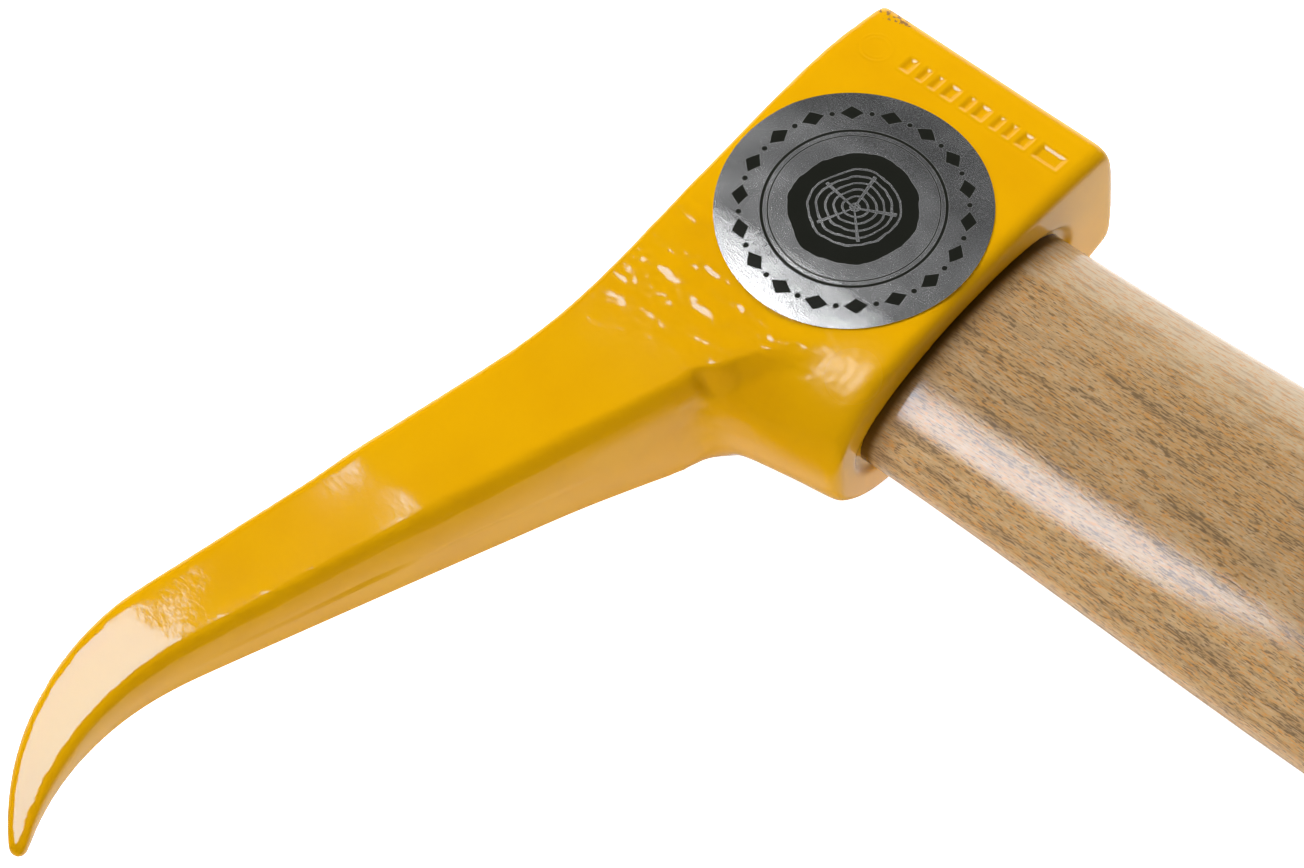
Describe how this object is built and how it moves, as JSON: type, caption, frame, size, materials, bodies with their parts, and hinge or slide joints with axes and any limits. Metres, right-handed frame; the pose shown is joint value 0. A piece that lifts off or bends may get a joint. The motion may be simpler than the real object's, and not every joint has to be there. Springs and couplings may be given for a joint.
{
  "type": "log pick",
  "caption": "Hand log pick: a forged, painted head with one tapering hooked claw and a blunt square poll, wedged on an oval ash handle with a knobbed butt.",
  "frame": {"origin": "foot of the eye's centre on the rest plane: on the flat land of the lower cheek, under the middle of the eye", "axes": "+X along the handle, from the eye to the butt; +Y from the eye to the poll, so the claw points to -Y; +Z out of the upper cheek, up when the tool lies on its side"},
  "size_m": [0.4021, 0.1803, 0.0302],
  "materials": {
    "painted_steel": "gloss enamel over forged steel",
    "ash": "clear lacquer",
    "wedge_wood": "bare hardwood",
    "wedge_steel": "turned, oiled",
    "foil": "fine speckled silver foil"
  },
  "bodies": {
    "root": {"head": "painted_steel", "handle": "ash", "wooden_wedge": "wedge_wood", "ring_wedge": "wedge_steel", "label": "foil"}
  },
  "joints": []
}
